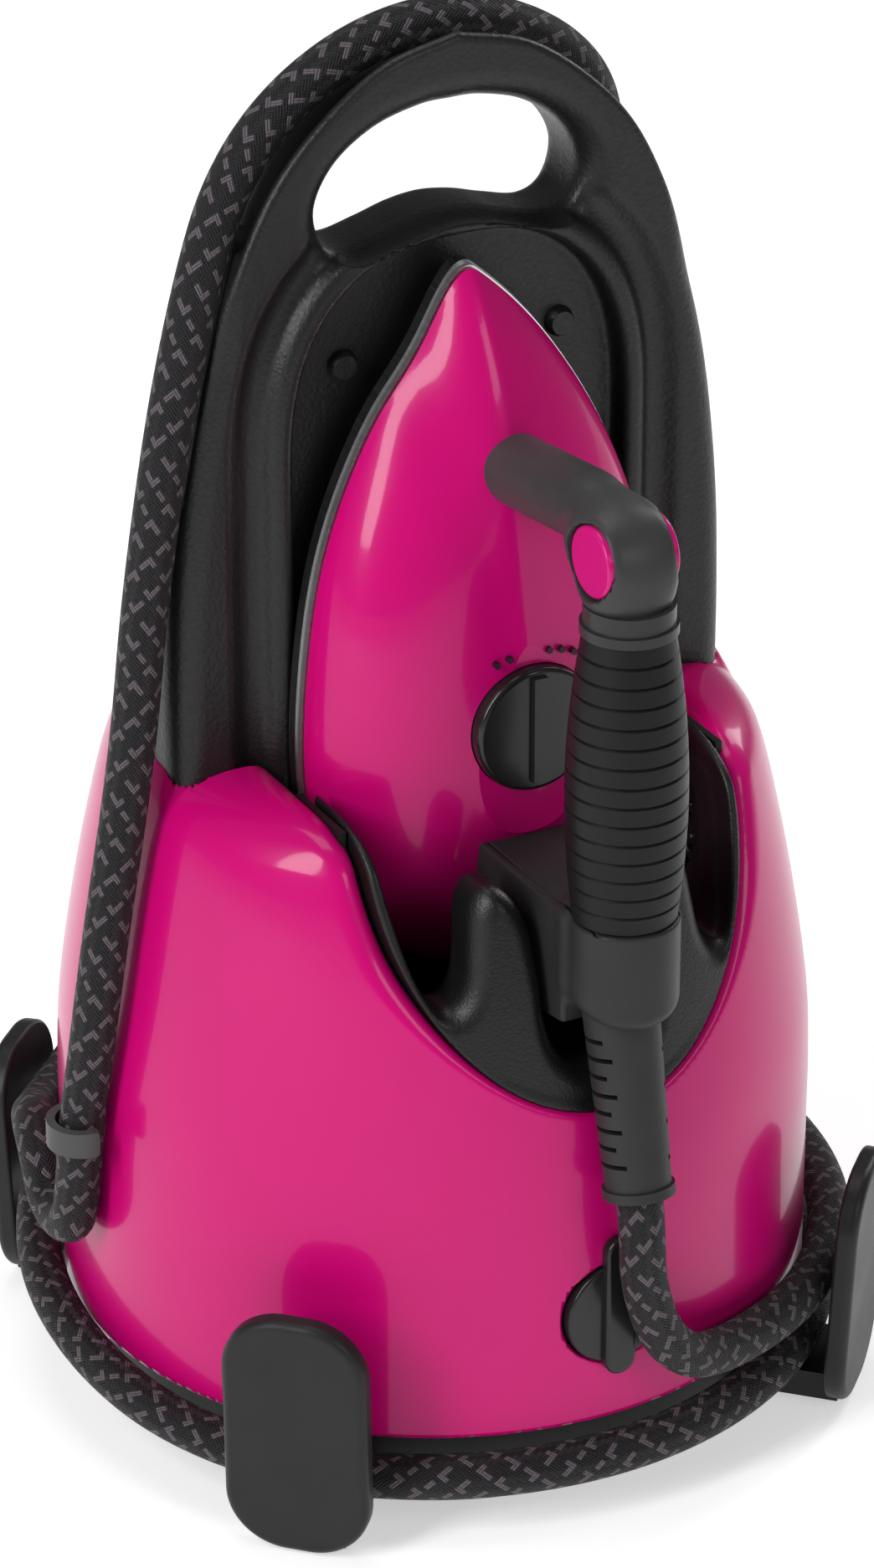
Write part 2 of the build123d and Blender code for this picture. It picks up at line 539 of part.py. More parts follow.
neck = neck_body + boss - sweep(neck_start * Circle(HANDLE_R - 2.5), path=neck_path)
for side in (-1, 1):
    pocket = Pos(side * 4.3, *BOSS) * extrude(Plane.YZ * Ellipse(10.8, 10.4), amount=side * 10)
    neck -= pocket
    button = extrude(Plane.YZ * Ellipse(10.7, 10.3), amount=side * 4.8)
    rim = button.edges().sort_by(Axis.X)[-1 if side > 0 else 0]
    name = "steam_button_right" if side > 0 else "steam_button_left"
    write(name, Pos(side * 6.5, *BOSS) * fillet(rim, 0.9))
neck -= box(-4.4, 4.4, -119, -106, 301, 314)
write("handle_neck", neck.solids().sort_by(SortBy.VOLUME)[-1])
write("steam_switch", box(-4.2, 4.2, -118.5, -106.5, 301.5, 313.5))
collar = tube((0, GRIP_Y, GRIP_TOP), (0, GRIP_Y, 294.6), 13.0, HANDLE_R + 0.02)
collar += tube((0, GRIP_Y, GRIP_TOP), (0, GRIP_Y, 289), 13.9, HANDLE_R + 0.02)
write("grip_collar", fillet(collar.edges().sort_by(Axis.Z)[-1], 0.6))


def grip_radius(z):
    """Belly of the grip: slimmer at both ends."""
    share = (z - BLOCK_TOP) / (GRIP_TOP - BLOCK_TOP)
    return 15.0 + 6.6 * share - 8.6 * share**2 + 1.2 * sin(pi * share)


RINGS = 15
pitch = (GRIP_TOP - BLOCK_TOP) / RINGS
sleeve_edge = [(8.6, BLOCK_TOP)]
for ring in range(RINGS):
    low = BLOCK_TOP + ring * pitch
    for z, cut in ((low, 0.55), (low + 0.5, 0.0), (low + pitch - 0.5, 0.0), (low + pitch, 0.55)):
        if z > sleeve_edge[-1][1] or len(sleeve_edge) == 1:
            sleeve_edge.append((grip_radius(z) - cut, z))
sleeve_edge.append((8.6, GRIP_TOP))
sleeve = revolve(Plane.XZ * make_face(Polyline(*sleeve_edge, close=True).edges()), Axis.Z)
write("grip_sleeve", Pos(0, GRIP_Y, 0) * sleeve)
write("grip_core", tube((0, GRIP_Y, BLOCK_TOP), (0, GRIP_Y, GRIP_TOP), 8.6, 6.4))

# Heel block between the cover and the foot of the grip, and the hose's strain relief.
plan = Pos(0, -80, 0) * Rectangle(2 * BLOCK_HALF, 70) + Pos(0, GRIP_Y, 0) * Circle(BLOCK_HALF)
block = Pos(0, 0, 140) * extrude(plan, amount=BLOCK_TOP - 140)
side_view = Polyline(
    (-40, 200), (-140, 200), (-140, 166), (-118, 164), (-106, 152.5), (-92, 150), (-74, 161), (-40, 186), close=True,
)
side_face = Plane.YZ * make_face(side_view.edges())
block &= extrude(side_face, amount=40, both=True)
axis = Vector(*RELIEF_END) - Vector(*RELIEF_TOP)
relief_plane = Plane(origin=RELIEF_TOP, z_dir=axis, x_dir=(1, 0, 0))
relief = relief_plane * Cone(11.2, 9.6, axis.length, align=(Align.CENTER, Align.CENTER, Align.MIN))
relief += relief_plane * (Pos(0, 0, axis.length - 3) * Cylinder(10.6, 3, align=(Align.CENTER, Align.CENTER, Align.MIN)))
relief += relief_plane * (Pos(0, 0, -14) * Cylinder(11.2, 14, align=(Align.CENTER, Align.CENTER, Align.MIN)))
relief -= relief_plane * (Pos(0, 0, 20) * Cylinder(3.4, 90))
for index in range(8):
    depth = 8.5 + index * 5.4
    wide = 5.2 if index % 2 == 0 else 7.2
    for side in (-1, 1):
        relief -= relief_plane * (Pos(side * 8.9, 0, depth) * Box(5.5, 2 * wide, 1.4))
block_solid = (block - cover_body).solids().sort_by(SortBy.VOLUME)[-1]
socket = relief_plane * (Pos(0, 0, -14) * Cylinder(11.2, 60, align=(Align.CENTER, Align.CENTER, Align.MIN)))
write("heel_block", (block_solid - socket).solids().sort_by(SortBy.VOLUME)[-1])
write("strain_relief", relief.solids().sort_by(SortBy.VOLUME)[-1])

# ------------------------------------------------------------------ hose
write("hose_lead", hose("hose_lead", lead_points))
write("hose_wrap", hose("hose_wrap", wrap_points))
write("hose_rise", hose("hose_rise", arch_points))

print("nodes", len(WRITTEN))
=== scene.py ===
import json
from math import cos, pi, radians, sin

import bpy
import numpy as np
from mathutils import Matrix, Vector


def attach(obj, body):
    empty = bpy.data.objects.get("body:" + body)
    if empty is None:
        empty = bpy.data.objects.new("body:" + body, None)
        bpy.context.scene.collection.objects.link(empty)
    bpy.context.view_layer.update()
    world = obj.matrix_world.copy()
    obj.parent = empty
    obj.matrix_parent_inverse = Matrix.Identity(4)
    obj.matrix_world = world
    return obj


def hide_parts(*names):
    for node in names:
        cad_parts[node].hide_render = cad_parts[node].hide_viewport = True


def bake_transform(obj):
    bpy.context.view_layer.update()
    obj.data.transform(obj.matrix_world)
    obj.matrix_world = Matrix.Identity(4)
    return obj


# A steam station with its iron docked: the surfaces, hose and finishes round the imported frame.
# It stands on z = 0 and faces -Y. Pieces are sized in millimetres, which MM turns into metres;
# the camera, the floor and the lights are placed in metres.
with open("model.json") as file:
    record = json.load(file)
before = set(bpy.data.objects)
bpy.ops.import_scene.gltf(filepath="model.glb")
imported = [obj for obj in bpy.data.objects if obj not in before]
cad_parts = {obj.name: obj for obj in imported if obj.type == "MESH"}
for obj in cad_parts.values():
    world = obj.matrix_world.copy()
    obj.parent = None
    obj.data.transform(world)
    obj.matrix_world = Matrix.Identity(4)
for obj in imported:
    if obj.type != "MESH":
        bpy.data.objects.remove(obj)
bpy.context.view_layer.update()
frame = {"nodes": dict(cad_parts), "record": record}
MM = 0.001

# ------------------------------------------------------------------ camera
CAMERA_PLACE = (-0.72875, -1.37329, 0.97536)
CAMERA_RIGHT = Vector((0.88295, -0.46947, 0.0))
CAMERA_BACK = Vector((-0.41871, -0.78748, 0.45229))
FOCAL_LENGTH = 134.54
SENSOR_HEIGHT = 36.0
FARTHEST = 20.0

camera_data = bpy.data.cameras.new("camera")
camera = bpy.data.objects.new("camera", camera_data)
bpy.context.scene.collection.objects.link(camera)
camera_data.sensor_fit = "VERTICAL"
camera_data.sensor_height = SENSOR_HEIGHT
camera_data.lens = FOCAL_LENGTH
camera_data.clip_end = FARTHEST
axes = Matrix((CAMERA_RIGHT, CAMERA_BACK.cross(CAMERA_RIGHT), CAMERA_BACK)).transposed().to_4x4()
camera.matrix_world = Matrix.Translation(CAMERA_PLACE) @ axes
bpy.context.scene.camera = camera


# ------------------------------------------------------------------ material tools
class Nodes:
    """A material's node tree, with short calls for what is used often."""

    def __init__(self, name):
        self.material = bpy.data.materials.new(name)
        self.material.use_nodes = True
        self.tree = self.material.node_tree
        self.shader = self.tree.nodes["Principled BSDF"]
        self.place = None

    def set(self, **values):
        for key, value in values.items():
            self.shader.inputs[key.replace("_", " ")].default_value = value
        return self

    def feed(self, socket, value):
        if isinstance(value, bpy.types.NodeSocket):
            self.tree.links.new(value, socket)
        else:
            socket.default_value = value

    def coordinates(self):
        if self.place is None:
            self.place = self.tree.nodes.new("ShaderNodeTexCoord").outputs["Object"]
        return self.place

    def math(self, operation, a, b=0.0):
        node = self.tree.nodes.new("ShaderNodeMath")
        node.operation = operation
        for socket, value in zip(node.inputs, (a, b)):
            self.feed(socket, value)
        return node.outputs[0]

    def noise(self, scale, detail=3.0, roughness=0.5, vector=None):
        node = self.tree.nodes.new("ShaderNodeTexNoise")
        node.inputs["Scale"].default_value = scale
        node.inputs["Detail"].default_value = detail
        node.inputs["Roughness"].default_value = roughness
        self.tree.links.new(vector or self.coordinates(), node.inputs["Vector"])
        return node.outputs["Fac"]

    def cells(self, scale):
        node = self.tree.nodes.new("ShaderNodeTexVoronoi")
        node.feature = "SMOOTH_F1"
        node.inputs["Scale"].default_value = scale
        self.tree.links.new(self.coordinates(), node.inputs["Vector"])
        return node.outputs["Distance"]

    def ramp(self, value, low, high, a=0.0, b=1.0):
        node = self.tree.nodes.new("ShaderNodeMapRange")
        for index, item in enumerate((value, low, high, a, b)):
            self.feed(node.inputs[index], item)
        return node.outputs[0]

    def mix(self, factor, a, b):
        node = self.tree.nodes.new("ShaderNodeMix")
        node.data_type = "RGBA"
        for index, value in ((0, factor), (6, a), (7, b)):
            self.feed(node.inputs[index], value)
        return node.outputs[2]

    def bump(self, height, strength, distance):
        node = self.tree.nodes.new("ShaderNodeBump")
        node.inputs["Strength"].default_value = strength
        node.inputs["Distance"].default_value = distance
        self.tree.links.new(height, node.inputs["Height"])
        return node.outputs["Normal"]

    def link(self, socket, name):
        self.tree.links.new(socket, self.shader.inputs[name])
        return self


def rgb(r, g, b):
    return (r, g, b, 1.0)


def darker(colour, share):
    """The same colour with only this share of its light."""
    return rgb(*(c * share for c in colour[:3]))


def gloss_pink(name, colour, rough):
    """Moulded gloss: a coloured body under a clear, very faintly uneven skin."""
    m = Nodes(name)
    m.link(m.mix(m.ramp(m.noise(14.0, 2.0), 0.3, 0.7), colour, darker(colour, 0.93)), "Base Color")
    m.set(Roughness=rough, Coat_Weight=0.45, Coat_Roughness=0.08, Coat_IOR=1.4, Specular_IOR_Level=0.12)
    m.link(m.bump(m.noise(55.0, 1.0), 0.05, 0.0006), "Normal")
    return m.material


def moulded(name, colour, rough, grain=0.1, scale=900.0, coat=0.0):
    """Moulded plastic with a fine spark texture, and a roughness that is uneven in patches."""
    m = Nodes(name)
    m.link(m.ramp(m.noise(22.0, 3.0), 0.3, 0.7, rough * 0.85, min(1.0, rough * 1.15)), "Roughness")
    m.link(m.mix(m.ramp(m.noise(60.0, 4.0), 0.35, 0.65), colour, darker(colour, 0.86)), "Base Color")
    m.link(m.bump(m.noise(scale, 2.0, 0.6), grain, 0.0004), "Normal")
    m.set(Specular_IOR_Level=0.22)
    if coat:
        m.set(Coat_Weight=coat, Coat_Roughness=0.15)
    return m.material


def leather_grain(name, colour, rough, scale, strength):
    """Moulded leather grain: small raised cells with creases between them, and painted shade that darkens the
    creases.
    """
    m = Nodes(name)
    cells = m.cells(scale)
    fine = m.noise(scale * 2.0, 2.0)
    height = m.math("ADD", m.math("MULTIPLY", cells, -0.8), m.math("MULTIPLY", fine, 0.45))
    m.link(m.bump(height, strength, 0.0005), "Normal")
    m.link(m.ramp(cells, 0.1, 0.7, rough * 0.88, rough * 1.12), "Roughness")
    # Painted shade: the colour is darker towards the creases between the raised cells.
    m.link(m.mix(m.ramp(cells, 0.2, 0.8), colour, darker(colour, 0.75)), "Base Color")
    m.set(Specular_IOR_Level=0.36)
    return m.material


def metal(name, colour, rough, brushed=0.0, axis=(1, 1, 40)):
    """Metal with fine lines along one axis, which show in its gloss and, if brushed, in its relief."""
    m = Nodes(name)
    m.set(Metallic=1.0)
    mapping = m.tree.nodes.new("ShaderNodeMapping")
    mapping.inputs["Scale"].default_value = axis
    m.tree.links.new(m.coordinates(), mapping.inputs["Vector"])
    lines = m.noise(160.0, 3.0, 0.6, mapping.outputs[0])
    m.link(m.ramp(lines, 0.3, 0.7, rough * 0.8, min(1.0, rough * 1.25)), "Roughness")
    m.link(m.mix(m.ramp(m.noise(30.0), 0.3, 0.7), colour, darker(colour, 0.9)), "Base Color")
    if brushed:
        m.link(m.bump(lines, brushed, 0.0002), "Normal")
    return m.material


def smoke_plastic(name):
    """Dark see-through plastic, for the water tank."""
    m = Nodes(name)
    m.set(Base_Color=rgb(0.05, 0.045, 0.05), Roughness=0.12, Coat_Weight=0.5)
    m.set(Transmission_Weight=0.7, IOR=1.46)
    m.link(m.bump(m.noise(120.0, 2.0), 0.05, 0.0003), "Normal")
    return m.material


# ------------------------------------------------------------------ hose's route
# It leaves the iron's strain relief, goes round the body on its hooks, rises on the left
# and crosses the frame.
HOSE_R = 6.75
WRAP_LOW_R, WRAP_LOW = 120.2, 19.6
WRAP_HIGH_R, WRAP_HIGH = 124.8, 41.0


def around(angle, radius, z):
    """A corner of a wrap round the body; angle counts from the front (-Y) towards +X."""
    return (radius * sin(radians(angle)), -radius * cos(radians(angle)), z)


def halfway(a, b):
    """The point midway between two points."""
    return tuple((p + q) / 2 for p, q in zip(a, b))


LEAD_LAST = (27.5, -121.5, 44.5)
WRAP_FIRST = around(37, WRAP_HIGH_R, WRAP_HIGH)
SEAM = halfway(LEAD_LAST, WRAP_FIRST)
RELIEF_TOP, RELIEF_END = (0, -113.5, 168), (0, -126, 112)
RELIEF_DIP = tuple(e + (e - t) / 6 for e, t in zip(RELIEF_END, RELIEF_TOP))
lead_points = [RELIEF_END, RELIEF_DIP, (1.0, -127.4, 81), (9.5, -126.2, 58), LEAD_LAST, SEAM]
hose_points = [
    SEAM,
    *[around(a, WRAP_HIGH_R, WRAP_HIGH) for a in range(37, 230, 24)],
    around(252, 124, 35.5), around(273, 123.4, 29.5), around(293, 122.8, 23), around(315, 121, WRAP_LOW),
    *[around(a, WRAP_LOW_R, WRAP_LOW) for a in range(338, 510, 24)],
    around(523, 123.5, 19.8), around(538, 137, 29.5), around(553, 143.5, 48.5), around(568, 131, 60.5),
    around(584, 123.8, 63), around(598, 122.8, 69.5), around(609, 122.4, 82), around(618.3, 122.4, 79.5),
    around(622.5, 122.4, 67), around(631.2, 122.4, 69), (-121.6, -5.6, 88), (-121.3, -8, 107),
    (-119.6, -12, 130), (-116.8, -13.5, 154), (-112, -12.5, 180), (-106.5, -11.5, 207), (-101.8, -11, 236),
    (-98.2, -10.5, 268), (-93, -10.8, 303), (-86.3, -9, 334),
    (-77.2, -6, 364), (-66.5, -1, 387), (-51, 1.5, 405.5), (-30, 2, 419.5), (-6.5, 2, 426),
    (16, 2, 424.4), (36, 2.5, 415.5), (51, 6, 402.5), (61, 13, 387), (66.5, 21, 369),
    (70, 25.5, 346), (73.5, 27.5, 319), (77, 27, 290), (77, 27, 262),
]


def spline_line(name, points):
    """Points along the smooth NURBS line that has these control points, in millimetres."""
    curve = bpy.data.curves.new(name, "CURVE")
    curve.dimensions = "3D"
    curve.resolution_u = 16
    spline = curve.splines.new("NURBS")
    spline.points.add(len(points) - 1)
    for point, place in zip(spline.points, points):
        point.co = (*(c * MM for c in place), 1.0)
    spline.order_u = 3
    spline.use_endpoint_u = True
    holder = bpy.data.objects.new(name, curve)
    bpy.context.scene.collection.objects.link(holder)
    mesh = bpy.data.meshes.new_from_object(holder)
    line = np.array([v.co for v in mesh.vertices]) / MM
    bpy.data.objects.remove(holder)
    bpy.data.meshes.remove(mesh)
    return line


def even_line(line, step):
    """The same line with its points about step apart, and the distance along at each."""
    keep = np.concatenate([[True], np.linalg.norm(np.diff(line, axis=0), axis=1) > 1e-6])
    line = line[keep]
    run = np.concatenate([[0.0], np.cumsum(np.linalg.norm(np.diff(line, axis=0), axis=1))])
    count = max(2, int(round(run[-1] / step)))
    at = np.linspace(0.0, run[-1], count + 1)
    return np.stack([np.interp(at, run, line[:, i]) for i in range(3)], axis=1), at


def new_object(name, mesh):
    """A mesh as an object of the scene."""
    obj = bpy.data.objects.new(name, mesh)
    bpy.context.scene.collection.objects.link(obj)
    return obj


def build_mesh(name, vertices, faces, smooth=True):
    """A mesh from corner points in metres and faces that count them."""
    mesh = bpy.data.meshes.new(name)
    mesh.from_pydata(np.asarray(vertices, float).tolist(), [], [tuple(int(i) for i in f) for f in faces])
    mesh.update()
    mesh.polygons.foreach_set("use_smooth", [smooth] * len(mesh.polygons))
    return mesh


def tube_mesh(name, line, along, start_side, sides, radius):
    """A tube along a line, with the angle round it and the distance along it kept on its points."""
    count = len(line)
    tangents = np.gradient(line, axis=0)
    tangents /= np.linalg.norm(tangents, axis=1)[:, None]
    side = np.array(start_side, float)
    angles = np.linspace(0, 2 * pi, sides, endpoint=False)
    rings = []
    for place, tangent in zip(line, tangents):
        side = side - tangent * side.dot(tangent)
        side /= np.linalg.norm(side)
        other = np.cross(tangent, side)
        rings.append(place + radius * (np.cos(angles)[:, None] * side + np.sin(angles)[:, None] * other))
    faces = []
    for i in range(count - 1):
        for j in range(sides):
            k = (j + 1) % sides
            faces.append((i * sides + j, i * sides + k, (i + 1) * sides + k, (i + 1) * sides + j))
    faces.append(tuple(range(sides))[::-1])
    faces.append(tuple((count - 1) * sides + j for j in range(sides)))
    mesh = build_mesh(name, np.concatenate(rings) * MM, faces)
    for label, values in (
        ("braid_along", np.repeat(along, sides)),
        ("braid_cos", np.tile(np.cos(angles), count)),
        ("braid_sin", np.tile(np.sin(angles), count)),
    ):
        attribute = mesh.attributes.new(label, "FLOAT", "POINT")
        attribute.data.foreach_set("value", values.astype(np.float32))
    return mesh, side


CARRIERS = 20.0
BRAID_STRETCH = 1.15


def braid_material(name):
    """Textile braid: two sets of slanted yarn pairs, two over and two under, some of them grey."""
    m = Nodes(name)
    attribute = {}
    for label in ("braid_along", "braid_cos", "braid_sin"):
        node = m.tree.nodes.new("ShaderNodeAttribute")
        node.attribute_name = label
        attribute[label] = node.outputs["Fac"]
    angle = m.math("ARCTAN2", attribute["braid_sin"], attribute["braid_cos"])
    pitch = 2 * pi * HOSE_R / CARRIERS * BRAID_STRETCH
    turn = m.math("MULTIPLY", m.math("ADD", m.math("MULTIPLY", angle, 1 / (2 * pi)), 1.0), CARRIERS)
    along = m.math("MULTIPLY", attribute["braid_along"], 1 / pitch)
    p, q = m.math("ADD", turn, along), m.math("SUBTRACT", turn, along)
    p_cell, q_cell = m.math("FLOOR", p), m.math("FLOOR", q)
    p_part, q_part = m.math("SUBTRACT", p, p_cell), m.math("SUBTRACT", q, q_cell)
    top = m.math("LESS_THAN", m.math("FLOORED_MODULO", m.math("ADD", p_cell, q_cell), 4.0), 1.5)
    other = m.math("SUBTRACT", 1.0, top)

    def yarns(part, run):
        """Height of two yarns side by side, and where they dive under at each end."""
        across = m.math("SUBTRACT", m.math("FRACT", m.math("MULTIPLY", part, 2.0)), 0.5)
        bulge = m.math("SUBTRACT", 1.0, m.math("MULTIPLY", m.math("MULTIPLY", across, across), 3.4))
        ends = m.math("ABSOLUTE", m.math("SUBTRACT", run, 0.5))
        return m.math("SUBTRACT", bulge, m.math("MULTIPLY", m.math("MULTIPLY", ends, ends), 1.1))

    def either(a, b):
        return m.math("ADD", m.math("MULTIPLY", a, top), m.math("MULTIPLY", b, other))

    height = either(yarns(p_part, q_part), yarns(q_part, p_part))
    grey = either(
        m.math("LESS_THAN", m.math("FLOORED_MODULO", p_cell, 4.0), 0.5),
        m.math("LESS_THAN", m.math("FLOORED_MODULO", q_cell, 5.0), 0.5),
    )
    fuzz = m.noise(1500.0, 2.0)
    # Painted shade: the yarns are darker where their height drops as they dip under, and the fuzz varies
    # their tone at random.
    weave_painted_shade_and_fuzz = m.math("MULTIPLY", m.ramp(height, -0.3, 0.9, 0.25, 1.0), m.ramp(fuzz, 0.25, 0.75, 0.7, 1.25))
    black = m.mix(weave_painted_shade_and_fuzz, rgb(0.0008, 0.0008, 0.0008), rgb(0.017, 0.016, 0.018))
    light = m.mix(weave_painted_shade_and_fuzz, rgb(0.010, 0.008, 0.010), rgb(0.13, 0.11, 0.128))
    m.link(m.mix(grey, black, light), "Base Color")
    m.set(Roughness=0.6, Sheen_Weight=0.05, Sheen_Roughness=0.4, Specular_IOR_Level=0.25)
    m.link(m.bump(m.math("ADD", height, m.math("MULTIPLY", fuzz, 0.25)), 0.9, 0.0005), "Normal")
    return m.material


# ------------------------------------------------------------------ finishes, one for each slot of the record
# The dial's marks are dark on this object, whatever their slot is called.
PINK = rgb(0.60, 0.0015, 0.165)
MATERIAL = {
    "shell_pink": gloss_pink("shell_pink", PINK, 0.28),
    "cover_pink": gloss_pink("cover_pink", PINK, 0.28),
    "button_pink": gloss_pink("button_pink", rgb(0.60, 0.006, 0.18), 0.3),
    "frame_black": leather_grain("frame_black", rgb(0.009, 0.009, 0.0095), 0.40, 800.0, 0.3),
    "cradle_black": leather_grain("cradle_black", rgb(0.0065, 0.0065, 0.007), 0.38, 1200.0, 0.25),
    "hook_black": moulded("hook_black", rgb(0.020, 0.020, 0.021), 0.42, 0.12),
    "black_base": moulded("black_base", rgb(0.02, 0.02, 0.021), 0.5, 0.2),
    "vent_black": moulded("vent_black", rgb(0.008, 0.008, 0.008), 0.5, 0.2),
    "pad_rubber": moulded("pad_rubber", rgb(0.02, 0.02, 0.02), 0.8, 0.3, 500.0),
    "clip_grey": moulded("clip_grey", rgb(0.075, 0.075, 0.077), 0.42, 0.12),
    "knob_black": moulded("knob_black", rgb(0.012, 0.012, 0.0125), 0.3, 0.08, coat=0.3),
    "brass_fitting": metal("brass_fitting", rgb(0.70, 0.46, 0.17), 0.3, 0.1),
    "boiler_steel": metal("boiler_steel", rgb(0.55, 0.55, 0.56), 0.32, 0.15, (40, 1, 1)),
    "heater_steel": metal("heater_steel", rgb(0.32, 0.30, 0.28), 0.42, 0.1),
    "pump_black": moulded("pump_black", rgb(0.03, 0.03, 0.032), 0.5, 0.2),
    "board_green": moulded("board_green", rgb(0.012, 0.09, 0.03), 0.35, 0.1),
    "pipe_rubber": moulded("pipe_rubber", rgb(0.30, 0.06, 0.03), 0.5, 0.15),
    "gland_black": moulded("gland_black", rgb(0.02, 0.02, 0.021), 0.45, 0.15),
    "button_grey": moulded("button_grey", rgb(0.12, 0.12, 0.125), 0.35, 0.1),
    "switch_black": moulded("switch_black", rgb(0.015, 0.015, 0.015), 0.5, 0.1),
    "lid_black": moulded("lid_black", rgb(0.02, 0.02, 0.021), 0.45, 0.2),
    "valve_grey": moulded("valve_grey", rgb(0.25, 0.25, 0.25), 0.45, 0.1),
    "sole_grey": metal("sole_grey", rgb(0.22, 0.22, 0.23), 0.34, 0.12, (1, 1, 30)),
    "trim_chrome": metal("trim_chrome", rgb(0.93, 0.93, 0.94), 0.36),
    "shield_black": moulded("shield_black", rgb(0.006, 0.006, 0.006), 0.5, 0.1),
    "cast_aluminium": metal("cast_aluminium", rgb(0.45, 0.45, 0.46), 0.5, 0.3, (1, 1, 1)),
    "dial_black": moulded("dial_black", rgb(0.010, 0.010, 0.011), 0.3, 0.06, coat=0.4),
    "mark_white": moulded("mark_white", rgb(0.03, 0.004, 0.015), 0.4),
    "neck_grey": moulded("neck_grey", rgb(0.048, 0.048, 0.05), 0.38, 0.12),
    "collar_black": moulded("collar_black", rgb(0.034, 0.034, 0.035), 0.36, 0.1),
    "grip_rubber": moulded("grip_rubber", rgb(0.0065, 0.0065, 0.007), 0.46, 0.15),
    "block_black": moulded("block_black", rgb(0.026, 0.026, 0.027), 0.4, 0.15),
    "relief_grey": moulded("relief_grey", rgb(0.030, 0.030, 0.031), 0.45, 0.15),
    "steel_screw": metal("steel_screw", rgb(0.5, 0.5, 0.5), 0.3),
    "tank_smoke": smoke_plastic("tank_smoke"),
    "hose_braid": braid_material("hose_braid"),
}
SLOT_OF = {part["node"]: part["material_slot"] for part in frame["record"]["subparts"]}

# ------------------------------------------------------------------ hose
HOSE_SIDES = 40
HOSE_STEP = 1.6
lead_line, lead_run = even_line(spline_line("lead_line", lead_points), HOSE_STEP)
wrap_line, wrap_run = even_line(spline_line("wrap_line", hose_points), HOSE_STEP)
lead_mesh, carried = tube_mesh("hose_lead_braid", lead_line, lead_run, (1, 0, 0), HOSE_SIDES, HOSE_R)
wrap_mesh, _ = tube_mesh("hose_braid", wrap_line, wrap_run + lead_run[-1], carried, HOSE_SIDES, HOSE_R)
lead = new_object("hose_lead_braid", lead_mesh)
wrap = new_object("hose_braid", wrap_mesh)
for obj in (lead, wrap):
    obj.data.materials.append(MATERIAL["hose_braid"])
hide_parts("hose_lead")
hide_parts("hose_wrap", "hose_rise")
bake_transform(lead)
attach(wrap, "station")

# ------------------------------------------------------------------ solids from distance fields
# A field gives the distance to a surface in millimetres, negative inside, for arrays of x, y and z.
OUTLINE_STEP = 0.5
SLAB = 24
RELAX_TURNS = 2
CORNERS = [(i, j, k) for i in (0, 1) for j in (0, 1) for k in (0, 1)]


def rmax(a, b, r):
    """Both at once, with the edge between them rounded to radius r."""
    return np.minimum(-r, np.maximum(a, b)) + np.hypot(np.maximum(r + a, 0), np.maximum(r + b, 0))


def rmin(a, b, r):
    """Either one, with the inner corner between them filled to radius r."""
    return -rmax(-a, -b, r)


def smooth_step(value, low, high):
    """A smooth rise from 0 at low to 1 at high."""
    t = np.clip((value - low) / (high - low), 0, 1)
    return t * t * (3 - 2 * t)


def through(points, per):
    """A smooth line through some points, with this many steps from each to the next."""
    p = np.array(points, float)
    p = np.concatenate([2 * p[:1] - p[1:2], p, 2 * p[-1:] - p[-2:-1]])
    t = np.linspace(0, 1, per, endpoint=False)[:, None]
    parts = []
    for a, b, c, d in zip(p[:-3], p[1:-2], p[2:-1], p[3:]):
        second, third = 2 * a - 5 * b + 4 * c - d, 3 * b - a - 3 * c + d
        parts.append(0.5 * (2 * b + (c - a) * t + second * t**2 + third * t**3))
    parts.append(p[-2:-1])
    return np.concatenate(parts)


def mirrored(right):
    """A whole closed outline from its right half, given from the bottom up."""
    right = np.array(right, float)
    left = right[::-1] * (-1, 1)
    return np.concatenate([right, left[np.abs(left[:, 0]) > 1e-6]])


class Outline:
    """Distance to a closed outline, negative inside, looked up on a fine grid."""

    def __init__(self, points, margin):
        points = np.asarray(points, float)
        self.low = points.min(0) - margin
        size = np.ceil((points.max(0) + margin - self.low) / OUTLINE_STEP).astype(int) + 1
        u = self.low[0] + OUTLINE_STEP * np.arange(size[0])[:, None]
        v = self.low[1] + OUTLINE_STEP * np.arange(size[1])[None, :]
        nearest, inside = np.full(size, 1e9), np.zeros(size, bool)
        for a, b in zip(points, np.roll(points, -1, axis=0)):
            run = b - a
            if run.dot(run) < 1e-12:
                continue
            t = np.clip(((u - a[0]) * run[0] + (v - a[1]) * run[1]) / run.dot(run), 0, 1)
            nearest = np.minimum(nearest, (u - a[0] - t * run[0]) ** 2 + (v - a[1] - t * run[1]) ** 2)
            if a[1] != b[1]:
                crosses = ((a[1] > v) != (b[1] > v)) & (u < a[0] + (v - a[1]) * run[0] / run[1])
                inside ^= crosses
        self.grid = np.sqrt(nearest) * np.where(inside, -1, 1)

    def __call__(self, u, v):
        s = np.clip((u - self.low[0]) / OUTLINE_STEP, 0, self.grid.shape[0] - 1.001)
        t = np.clip((v - self.low[1]) / OUTLINE_STEP, 0, self.grid.shape[1] - 1.001)
        s, t = np.broadcast_arrays(s, t)
        i, j = s.astype(int), t.astype(int)
        s, t = s - i, t - j
        near = self.grid[i, j] * (1 - s) + self.grid[i + 1, j] * s
        far = self.grid[i, j + 1] * (1 - s) + self.grid[i + 1, j + 1] * s
        return near * (1 - t) + far * t


def rod_field(x, y, z, start, end, radius):
    """Distance to a capsule between two points."""
    start, run = np.array(start, float), np.array(end, float) - np.array(start, float)
    x, y, z = x - start[0], y - start[1], z - start[2]
    t = np.clip((x * run[0] + y * run[1] + z * run[2]) / run.dot(run), 0, 1)
    return np.sqrt((x - t * run[0]) ** 2 + (y - t * run[1]) ** 2 + (z - t * run[2]) ** 2) - radius


def along_hose(x, y, z, line, radius):
    """Distance to a tube that follows some points."""
    nearest = 1e9
    for a, b in zip(line[:-1], line[1:]):
        nearest = np.minimum(nearest, rod_field(x, y, z, a, b, radius))
    return nearest


